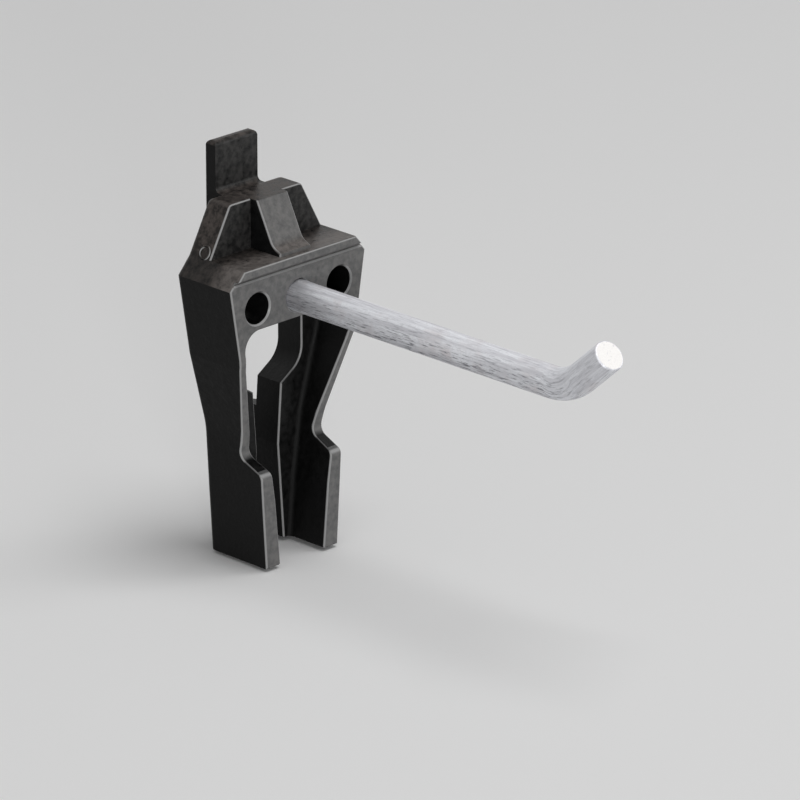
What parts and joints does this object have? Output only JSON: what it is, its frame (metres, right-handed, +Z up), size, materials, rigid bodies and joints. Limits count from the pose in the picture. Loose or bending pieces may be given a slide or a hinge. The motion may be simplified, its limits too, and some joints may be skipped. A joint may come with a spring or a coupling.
{
  "type": "pegboard hook",
  "caption": "Pegboard hook: a black moulded clip with spring legs that snaps into a square-hole panel, and a steel rod with an upturned end to hang things on.",
  "frame": {"origin": "middle of the upper panel hole, on the panel's front face", "axes": "+Z up, +Y into the panel, -Y into the room along the rod, X across; the clip is the same on both sides of X = 0"},
  "size_m": [0.0276, 0.0794, 0.0628],
  "materials": {
    "black_plastic": "finely textured black moulding",
    "zinc_steel": "drawn steel rod, bright zinc plated"
  },
  "bodies": {
    "root": {"moulded_clip": "black_plastic", "hook_rod": "zinc_steel"}
  },
  "joints": []
}
